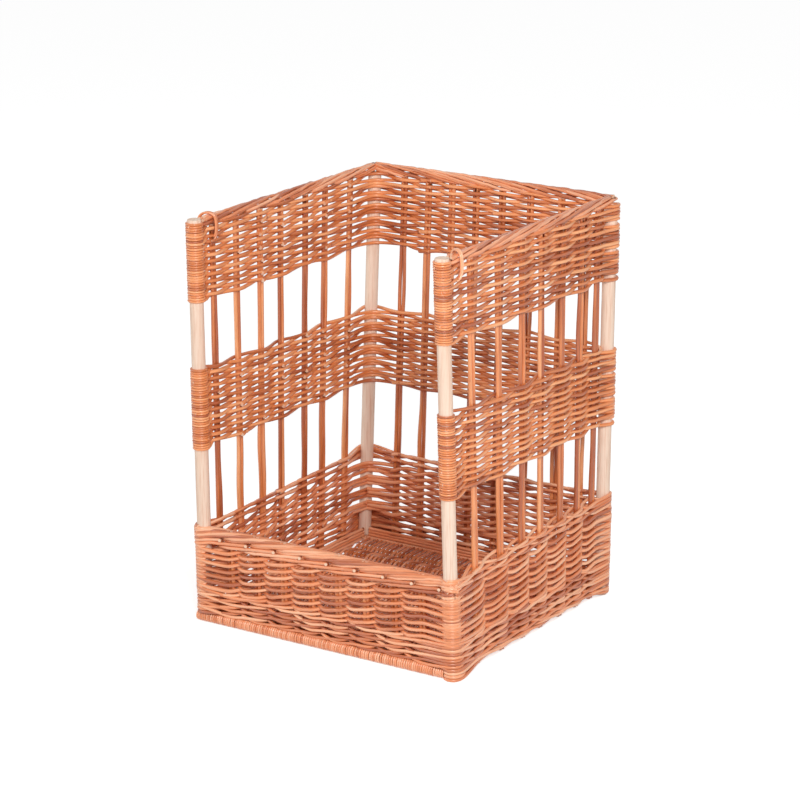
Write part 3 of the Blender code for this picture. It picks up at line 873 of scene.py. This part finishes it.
def outer_row(bundle, course, rod, walls, ahead, back_left):
    """A rod along some walls of the tray, outside the posts, which turns round its first and last post.

    Back_left is the side on which it passes the back left post. At a post it has the height that its course
    has a little ahead of it, so that rods lie apart there. Places are counted in stakes and posts, and are
    negative before the front right corner."""
    rods = rods_settings()
    height_of, side_of = course
    turn_radius = (rods.post_diameter + rod) / 2 - TURN_SUNK
    grip = (rods.stake_diameter + rod) / 2
    place = -sum(len(STAKE_AXES[wall]) + 1 for wall in walls[: walls.index("right") + 1])
    first = WALLS[walls[0]][0]
    before = next(name for name, ends in WALLS.items() if ends[1] == first)
    sides = {corner: back_left if corner == "back_left" else OUTSIDE for corner in CORNERS}
    points = corner_points(before, first, height_of(place + ahead), turn_radius, sides[first])
    marks = [0] * len(points)
    for wall in walls:
        more_points, more_marks = wall_run(bundle, wall, place, height_of, side_of, grip, rod * 0.7)
        points += more_points
        marks += more_marks
        place += len(STAKE_AXES[wall]) + 1
        corner = WALLS[wall][1]
        turn = corner_points(wall, corner, height_of(place + ahead), turn_radius, sides[corner])
        points += turn
        marks += [0] * len(turn)
    for point in points:
        point.z += tray_lift(point)
    return points, marks


def add_corner_wraps(bundle, height, rod):
    """Thin rods between two rows of the tray, round the outer side of both front posts."""
    rods = rods_settings()
    radius = (rods.post_diameter + rod) / 2 + 0.7 * MM
    for wall, corner in (("right", "front_right"), ("front", "front_left")):
        _, _, out, _ = wall_at(wall, height)
        centre = post_at(corner, height)
        points = []
        for turn in (-60, -35, -8, 20, 45, 70, 98, 125, 150):
            depth = radius - (4 * MM if turn in (-60, 150) else 0)
            point = centre + turned(out, turn) * depth
            point.z += tray_lift(point)
            points.append(point)
        bundle.add(points, rod / 2, tone=bundle.rng.uniform(0.45, 0.8))


def tray_lift(point):
    """How far the tray's rows lie above or below the level of the model, growing up the wall."""
    low, high = span("tray_weave")
    front = post_at("front_left", high).y
    back = post_at("back_left", high).y
    share = max(0.0, (point.z - low) / (high - low))
    return share * (rods_settings().tray_tilt * (point.y - front) / (back - front) - 3 * MM)


def add_outer_row(bundle, course, rod, walls, length, ahead, girth=1.0, back_left=OUTSIDE):
    """Adds a rod of the tray in lengths. Girth is the share of its thickness that it has at a front post."""
    points, marks = outer_row(bundle, course, rod, walls, ahead, back_left)
    line = smooth_path(points, 5.0 * MM)
    joins = joins_of(bundle, points, marks, line, length)
    bundle.add_row(line, rod / 2, inward_of(line), joins, ring_girth(line, girth))


def add_wale(bundle, low, courses, rod, walls):
    """Courses of three rods up from a level; where a rod is inside, two show outside."""
    rise = 1.9 * rod
    for course in range(courses):
        for phase in range(3):
            row = waled_course(low + rod / 2 + course * rise, rise, phase)
            add_outer_row(bundle, row, rod, walls, WALE_LENGTH, 0)


class STAND_OT_tray_foot_wale(bpy.types.Operator):
    """Waled rods round the tray's foot"""

    bl_idname = "stand.tray_foot_wale"
    bl_label = "Tray's foot wale"

    def execute(self, context):
        rods = rods_settings()
        bundle = Bundle(rods.seed + 31)
        low = span("tray_foot_wale")[0]
        roll_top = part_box("base_weave")[1].z
        add_wale(bundle, roll_top, 3, rods.wale_rod, TRAY_WALLS)
        add_side_foot(bundle, low, roll_top)
        add_inner_foot(bundle, roll_top)
        make_rods("woven_foot_wale", bundle, "tray", rods.sides, 0.10, ["tray_foot_wale"])
        return {"FINISHED"}


def add_side_foot(bundle, low, high):
    """The lowest rods of the left and right walls, beside the base, which drop rightwards outside stakes."""
    rods = rods_settings()
    rod = rods.wale_rod * 0.97
    grip = (rods.stake_diameter + rod) / 2
    turn_radius = (rods.post_diameter + rod) / 2 - TURN_SUNK
    for wall in ("left", "right"):
        start, along, out, length = wall_at(wall, low)
        distances = stake_distances(wall, low)
        for phase in range(3):
            height_of, side_of = waled_course(high - low - 1.1 * MM, -6.8 * MM, phase)
            points = []
            if wall == "right":
                centre = start + along * length
                lift = UP * (rod * (phase + 0.5) + 0.4 * MM)
                points += [centre + turned(out, turn) * turn_radius + lift for turn in (130, 95, 50, 8)]
            else:
                points.append(start + along * (length - 16 * MM) + UP * height_of(-len(distances) - 1))
            for number, distance in reversed(list(enumerate(distances))):
                place = number - len(distances)
                lift = UP * (height_of(place) + bundle.rng.gauss(0, 0.3 * MM))
                points.append(start + along * distance + out * side_of(place) * grip + lift)
            if wall == "right":
                lift = UP * (6 * MM + rod * phase * 0.6)
                points += [start + turned(out, -turn) * turn_radius + lift for turn in (8, 50, 95)]
            else:
                points.append(start + along * 16 * MM + UP * height_of(0))
            bundle.add(points, rod / 2, taper=0.1)


def add_inner_foot(bundle, low):
    """Rods inside the stakes that close the walls' foot against the base."""
    rods = rods_settings()
    rod = rods.wale_rod
    for wall in WALLS:
        for number in range(4):
            height = low + rod * (number - 0.4)
            start, along, out, length = wall_at(wall, height)
            inner = start - out * (rods.stake_diameter + rod) / 2
            points = []
            for distance in (12 * MM, *stake_distances(wall, height), length - 12 * MM):
                points.append(inner + along * distance + UP * bundle.rng.gauss(0, 0.3 * MM))
            bundle.add(points, rod / 2)


class STAND_OT_tray_weave(bpy.types.Operator):
    """Woven walls of the tray, with a wale at their top edge"""

    bl_idname = "stand.tray_weave"
    bl_label = "Tray's weave"

    def execute(self, context):
        rods = rods_settings()
        bundle = Bundle(rods.seed + 41)
        low, high = span("tray_weave")
        border_low = span("tray_front_border")[0]
        rod = rods.tray_rod
        weave_low = low + 14 * MM
        add_wale(bundle, low + 5 * MM, 1, rods.wale_rod, TRAY_WALLS)
        courses = round((border_low - weave_low) / (2 * rods.tray_row))
        pitch = (border_low - weave_low) / (2 * courses)
        for row in range(2 * courses + 2):
            walls = TRAY_WALLS if row < 2 * courses else OPEN_WALLS
            middle = weave_low + (row // 2 * 2 + 1) * pitch
            course = paired_course(middle, 1.6 * pitch, row)
            back_left = OUTSIDE if row % 4 == 1 else INSIDE
            add_outer_row(bundle, course, rod, walls, TRAY_LENGTH, 0.31, 0.7, back_left)
            add_corner_wraps(bundle, weave_low + row * pitch, 0.6 * rod)
        rod = rods.wale_rod
        add_wale(bundle, high - 4.6 * rod, 2, rod, OPEN_WALLS)
        make_rods("woven_tray", bundle, "tray", rods.sides, 0.10, ["tray_weave"])
        return {"FINISHED"}


def round_front(distance, height, depth, radius):
    """A point along the front, a distance from its left post, or round the post that it has run past."""
    start, along, out, length = wall_at("front", height)
    past_right = distance > length / 2
    beyond = distance - length if past_right else -distance
    centre = start if past_right else post_at("front_left", height)
    away = -along if past_right else along
    blend = 16 * MM
    if beyond < 0:
        share = max(0.0, 1 + beyond / blend)
        return centre + away * beyond + out * (depth + (radius - depth) * share * share * (3 - 2 * share))
    angle = min(beyond / radius, math.pi / 2)
    rest = beyond - radius * angle
    point = centre + (out * math.cos(angle) + away * math.sin(angle)) * radius
    return point - out * rest - away * (radius - abs(depth)) * min(1.0, rest / blend)


def over_edge(travel, half_width, face):
    """Across and up for a rod that has come so far up one face of an edge, over it and down the other."""
    if travel < face:
        return half_width, travel - face
    across = half_width - (travel - face)
    if across > -half_width:
        return across, 1.3 * MM * (1 - (across / half_width) ** 2)
    return -half_width, across + half_width


def steps_over_edge(begin, half, climb, bay, half_width, face, count):
    """A rod's steps over an edge: the number of each, and how far along, across and up it lies.

    Half is 1 for a rod that starts half a climb up, and otherwise 0."""
    first = half * climb / 2
    whole = 2 * face + 2 * half_width
    for i in range(count + 1):
        travel = first + (whole - first) * i / count
        across, rise = over_edge(travel, half_width, face)
        yield i, begin + (travel - first) / climb * bay, across, rise


class STAND_OT_front_border(bpy.types.Operator):
    """Border of the tray's front: rods that climb to the right and over the edge, above a row of cut ends"""

    bl_idname = "stand.front_border"
    bl_label = "Tray's front border"

    def execute(self, context):
        rods = rods_settings()
        bundle = Bundle(rods.seed + 53)
        rng = bundle.rng
        rod = rods.border_rod * 0.92
        low, high = span("tray_front_border")
        top = high - 5.5 * MM - rod / 2
        length = wall_at("front", high)[3]
        stakes = len(STAKE_AXES["front"])
        bay = length / (stakes + 1)
        grip = (rods.stake_diameter + rod) / 2
        radius = (rods.post_diameter + rod) / 2
        ends = (-20 * MM, length + 20 * MM)
        for number in range(stakes + 3):
            cut = (number + 0.7) * bay + rng.gauss(0, 1.0 * MM)
            points = []
            for i in range(12):
                share = i / 11
                distance = cut - 2.1 * bay * (1 - share)
                if ends[0] <= distance <= ends[1]:
                    height = low - 0.5 * MM + 11.0 * MM * share
                    depth = grip * min(1.0, 0.1 + share * 6)
                    points.append(round_front(distance, height, depth, radius) + UP * rng.gauss(0, 0.2 * MM))
            if number <= stakes:
                out = wall_at("front", high)[2]
                for along, up, outward in ((0.8, 0.2, 1.6), (1.4, 0.4, 3.4)):
                    point = round_front(cut + along * MM, height + up * MM, grip, radius)
                    points.append(point + out * outward * MM)
            if len(points) > 2:
                bundle.add(points, rod / 2, taper=0.1, step=2 * MM, cut=1.6 * MM)
        climb = 8.0 * MM
        face = top - low - 9.0 * MM
        for number in range(-5, stakes + 2):
            for half in (0, 1):
                begin = (number + 0.7) * bay + 5 * MM + rng.gauss(0, 1.2 * MM)
                points = []
                for i, distance, across, rise in steps_over_edge(begin, half, climb, bay, grip, face, 22):
                    if not ends[0] <= distance <= ends[1]:
                        continue
                    sunk = 1.2 * MM * (1 - half) if across > 0 else 0.0
                    across -= max(0, 2 - i) * 2.2 * MM
                    point = round_front(distance, top + rise, across - sunk, radius)
                    points.append(point + UP * rng.gauss(0, 0.2 * MM))
                if len(points) > 3:
                    bundle.add(points, rod / 2 * rng.uniform(0.92, 1.04), taper=0.12, step=4 * MM)
        make_rods("front_border_rods", bundle, "borders", 10, 0.08, ["tray_front_border"])
        return {"FINISHED"}


class STAND_OT_base(bpy.types.Operator):
    """Floor of the stand: strands over and under the sticks, rolled round the edge sticks"""

    bl_idname = "stand.base"
    bl_label = "Base"

    def execute(self, context):
        rods = rods_settings()
        strand = rods.base_strand
        bundle = Bundle(rods.seed + 61)
        boxes = [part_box(name) for name in BASE_STICKS]
        places = [(low.y + high.y) / 2 for low, high in boxes]
        edge_radius = (boxes[0][1].z - boxes[0][0].z) / 2
        stick_radius = (boxes[1][1].z - boxes[1][0].z) / 2
        middle = (boxes[0][1].z + boxes[0][0].z) / 2
        crest = middle + edge_radius + strand / 2
        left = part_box("base_weave")[0].x
        roll_right = boxes[0][1].x + 8 * MM
        inner = boxes[1][1].x
        count = int((roll_right - left) / (strand * 1.12))
        for i in range(count):
            x = left + strand * 0.6 + (roll_right - left - strand) * i / (count - 1)
            if abs(x) > inner - 1 * MM:
                continue
            sway = bundle.rng.gauss(0, 0.25 * MM)
            points = [Vector((x, places[0], crest))]
            over = OUTSIDE if i % 2 else INSIDE
            for y in places[1:-1]:
                height = middle + over * (stick_radius + strand / 2)
                for nudge in (-2 * MM, 2 * MM):
                    points.append(Vector((x + sway, y + nudge, height)))
                over = -over
            points.append(Vector((x, places[-1], crest)))
            bundle.add(points, strand / 2 * bundle.rng.uniform(0.92, 1.08), taper=0.1)
        for y, out in ((places[0], -1), (places[-1], 1)):
            add_roll(bundle, y + out * 3.5 * MM, left, roll_right, strand)
        make_rods("woven_base", bundle, "base", 7, 0.08, ["base_weave"])
        sticks = Bundle(rods.seed + 67)
        for low, high in boxes:
            radius = (high.z - low.z) / 2
            y = (low.y + high.y) / 2
            line = [Vector((low.x + (high.x - low.x) * i / 40, y, middle)) for i in range(41)]
            sticks.add(line, radius, step=10 * MM)
        make_rods("base_sticks", sticks, "stakes", 12, 0.05, BASE_STICKS)
        return {"FINISHED"}


def add_roll(bundle, y, left, right, strand):
    """Closed turns side by side round an edge of the base, paler than the floor, lying on the ground."""
    radius = 8.6 * MM
    middle = radius + 0.2 * MM
    left += 1.5 * MM
    count = int((right - left) / (strand * 1.06))
    slant = 0.0
    for i in range(count):
        x = left + strand / 2 + (right - left - strand) * i / (count - 1)
        slant = 0.8 * slant + bundle.rng.gauss(0, 0.3 * MM)
        bulge = bundle.rng.gauss(0, 0.12 * MM) - 0.25 * MM
        points = []
        for step in range(15):
            angle = 2 * math.pi * step / 14 + math.pi / 2
            reach = radius - strand / 2 + bulge
            across = slant * math.cos(angle)
            points.append(Vector((x + across, y + reach * math.cos(angle), middle + reach * math.sin(angle))))
        bundle.add(points, strand / 2, tone=bundle.rng.uniform(0.4, 0.95))


class STAND_OT_top_border(bpy.types.Operator):
    """Border on the top of the three walls: long rods laid along the edge, which wind slowly over it"""

    bl_idname = "stand.top_border"
    bl_label = "Top border"

    def execute(self, context):
        rods = rods_settings()
        bundle = Bundle(rods.seed + 71)
        rod = rods.border_rod * 0.84
        nodes = [f"top_border_rod_{i}" for i in (1, 2, 3)]
        low = min(span(node)[0] for node in nodes)
        high = max(span(node)[1] for node in nodes)
        rng = bundle.rng
        half_width = (rods.stake_diameter + rod) / 2
        top = high - rod / 2 - 1.3 * MM
        face = top - low - rod / 2 + 2 * MM
        climb = 7.0 * MM
        lead = 14 * MM
        count = 26
        for wall in OPEN_WALLS:
            start, along, out, length = wall_at(wall, top)
            if wall == "right":
                start = start + along * length
                along = -along
            side = INSIDE if wall == "left" else OUTSIDE
            bay = length / (len(STAKE_AXES[wall]) + 1)
            first_end = 0.0 if wall == "back" else lead
            for number in range(-7, len(STAKE_AXES[wall]) + 1):
                for half in (0, 1):
                    begin = number * bay + rng.uniform(0, 8 * MM)
                    last_end = length + rng.uniform(0, 10 * MM)
                    points = []
                    steps = steps_over_edge(begin, half, climb, bay, half_width, face, count)
                    for i, distance, across, rise in steps:
                        if not first_end - 2 * MM <= distance <= last_end:
                            continue
                        across -= math.copysign(0.8 * MM * (1 - half), across)
                        across -= max(0, 2 - i) * 2.4 * MM
                        across += max(0, i - count + 2) * 2.4 * MM
                        point = start + along * distance + out * side * across
                        point.z = top + rise - 1.5 * MM * half + rng.gauss(0, 0.3 * MM)
                        points.append(point)
                    if len(points) > 3:
                        bundle.add(points, rod / 2 * rng.uniform(0.9, 1.08), taper=0.15)
        make_rods("top_border_rods", bundle, "borders", 10, 0.08, nodes)
        return {"FINISHED"}


class STAND_OT_border_ties(bpy.types.Operator):
    """Thin rods looped over the front ends of the border"""

    bl_idname = "stand.border_ties"
    bl_label = "Border's ties"

    def execute(self, context):
        rods = rods_settings()
        for side, shift, slant in (("left", -8 * MM, -12 * MM), ("right", 1 * MM, 9 * MM)):
            bundle = Bundle(rods.seed + 83 + len(side))
            node = f"border_tie_{side}"
            low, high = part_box(node)
            middle = Vector(((low.x + high.x) / 2, (low.y + high.y) / 2 + shift, 0))
            rod = rods.tie_rod
            radius = (high.x - low.x) / 2 - rod / 2
            crest = high.z - rod / 2 - radius - 0.2 * MM
            for strand in (-1, 1):
                points = []
                beside = strand * rod * 0.5
                points.append(Vector((middle.x - radius * 0.8, middle.y + beside + slant, low.z + 16 * MM)))
                for turn in range(180, -1, -30):
                    angle = math.radians(turn)
                    across = math.cos(angle) * radius
                    y = middle.y + beside + slant * (1 - math.cos(angle)) / 2
                    points.append(Vector((middle.x + across, y, crest + math.sin(angle) * radius)))
                points.append(Vector((middle.x + radius, middle.y + beside, low.z + 13 * MM)))
                if strand > 0:
                    points.append(Vector((middle.x + radius * 0.9, middle.y - 2 * MM, low.z + 5 * MM)))
                    points.append(Vector((middle.x + radius * 0.7, middle.y - 7 * MM, low.z + 2 * MM)))
                else:
                    points.append(Vector((middle.x + radius * 0.6, middle.y, low.z + 7 * MM)))
                bundle.add(points, rod / 2, step=2.5 * MM)
            make_rods(f"looped_tie_{side}", bundle, "ties", 10, 0.05, [node])
        return {"FINISHED"}


# Studio


def area_light(name, place, target, size, power):
    data = bpy.data.lights.new(name, "AREA")
    data.shape = "RECTANGLE"
    data.size = size[0]
    data.size_y = size[1]
    data.energy = power
    light = bpy.data.objects.new(name, data)
    bpy.context.scene.collection.objects.link(light)
    light.location = place
    light.rotation_euler = (Vector(target) - Vector(place)).to_track_quat("-Z", "Y").to_euler()
    return light


def seen_directly(tree):
    """1 where the camera, a mirror image or clear glass looks straight at the surface."""
    path = add_node(tree, "ShaderNodeLightPath").outputs
    glossy = math_node(tree, "MAXIMUM", path["Is Camera Ray"], path["Is Glossy Ray"])
    return math_node(tree, "MAXIMUM", glossy, path["Is Transmission Ray"])


class STAND_OT_stage(bpy.types.Operator):
    """Pale floor, soft studio light and the camera"""

    bl_idname = "stand.stage"
    bl_label = "Stage"

    def execute(self, context):
        studio = context.scene.stand_studio
        half = 6.0
        corners = [(-half, -half, 0), (half, -half, 0), (half, half, 0), (-half, half, 0)]
        mesh = bpy.data.meshes.new("floor")
        mesh.from_pydata(corners, [], [(0, 1, 2, 3)])
        floor = bpy.data.objects.new("floor", mesh)
        context.scene.collection.objects.link(floor)
        material = bpy.data.materials.new("Pale floor")
        material.use_nodes = True
        tree = material.node_tree
        tree.nodes.clear()
        white = (1, 1, 1, 1)
        diffuse = add_node(tree, "ShaderNodeBsdfDiffuse", {"Color": (0.82, 0.82, 0.82, 1)})
        strength = math_node(tree, "MULTIPLY", seen_directly(tree), 0.66)
        glow = add_node(tree, "ShaderNodeEmission", {"Color": white, "Strength": strength})
        both = add_node(tree, "ShaderNodeAddShader", {0: diffuse.outputs[0], 1: glow.outputs[0]})
        add_node(tree, "ShaderNodeOutputMaterial", {"Surface": both.outputs[0]})
        mesh.materials.append(material)

        world = bpy.data.worlds.new("Studio")
        context.scene.world = world
        world.use_nodes = True
        tree = world.node_tree
        direct = math_node(tree, "MULTIPLY", seen_directly(tree), 1.0 - studio.sky)
        strength = math_node(tree, "ADD", direct, studio.sky)
        set_inputs(tree, tree.nodes["Background"], {"Color": white, "Strength": strength})

        target = (0.0, 0.0, 0.3)
        area_light("key", (1.9, -2.1, 1.9), target, (0.9, 0.7), studio.key_power)
        area_light("fill", (-2.4, -1.6, 1.4), target, (1.6, 1.6), studio.fill_power)

        data = bpy.data.cameras.new("camera")
        data.lens = studio.lens
        data.sensor_width = 36.0
        data.clip_end = 50.0
        camera = bpy.data.objects.new("camera", data)
        context.scene.collection.objects.link(camera)
        turn = studio.azimuth
        rise = studio.elevation
        back = Vector((math.sin(turn) * math.cos(rise), -math.cos(turn) * math.cos(rise), math.sin(rise)))
        camera.location = Vector(studio.target) + back * studio.distance
        camera.rotation_euler = (-back).to_track_quat("-Z", "Y").to_euler()
        context.scene.camera = camera
        context.scene.view_settings.view_transform = "Standard"
        return {"FINISHED"}


PIECES = (
    STAND_OT_posts,
    STAND_OT_stakes,
    STAND_OT_base,
    STAND_OT_tray_foot_wale,
    STAND_OT_tray_weave,
    STAND_OT_front_border,
    STAND_OT_middle_band,
    STAND_OT_top_band,
    STAND_OT_top_border,
    STAND_OT_border_ties,
    STAND_OT_stage,
)


class STAND_PT_panel(bpy.types.Panel):
    """Steps of the stand, in their order"""

    bl_idname = "STAND_PT_panel"
    bl_label = "Willow stand"
    bl_space_type = "VIEW_3D"
    bl_region_type = "UI"
    bl_category = "Willow stand"

    def draw(self, context):
        for step in PIECES:
            self.layout.operator(step.bl_idname)


SETTINGS = (("stand_rods", StandRods), ("stand_finish", StandFinish), ("stand_studio", StandStudio))


def register():
    for name, group in SETTINGS:
        bpy.utils.register_class(group)
        setattr(bpy.types.Scene, name, bpy.props.PointerProperty(type=group))
    for step in PIECES:
        bpy.utils.register_class(step)
    bpy.utils.register_class(STAND_PT_panel)


def unregister():
    bpy.utils.unregister_class(STAND_PT_panel)
    for step in reversed(PIECES):
        bpy.utils.unregister_class(step)
    for name, group in reversed(SETTINGS):
        delattr(bpy.types.Scene, name)
        bpy.utils.unregister_class(group)


def main():
    register()
    for step in PIECES:
        group, name = step.bl_idname.split(".")
        getattr(getattr(bpy.ops, group), name)()


if __name__ == "__main__":
    main()
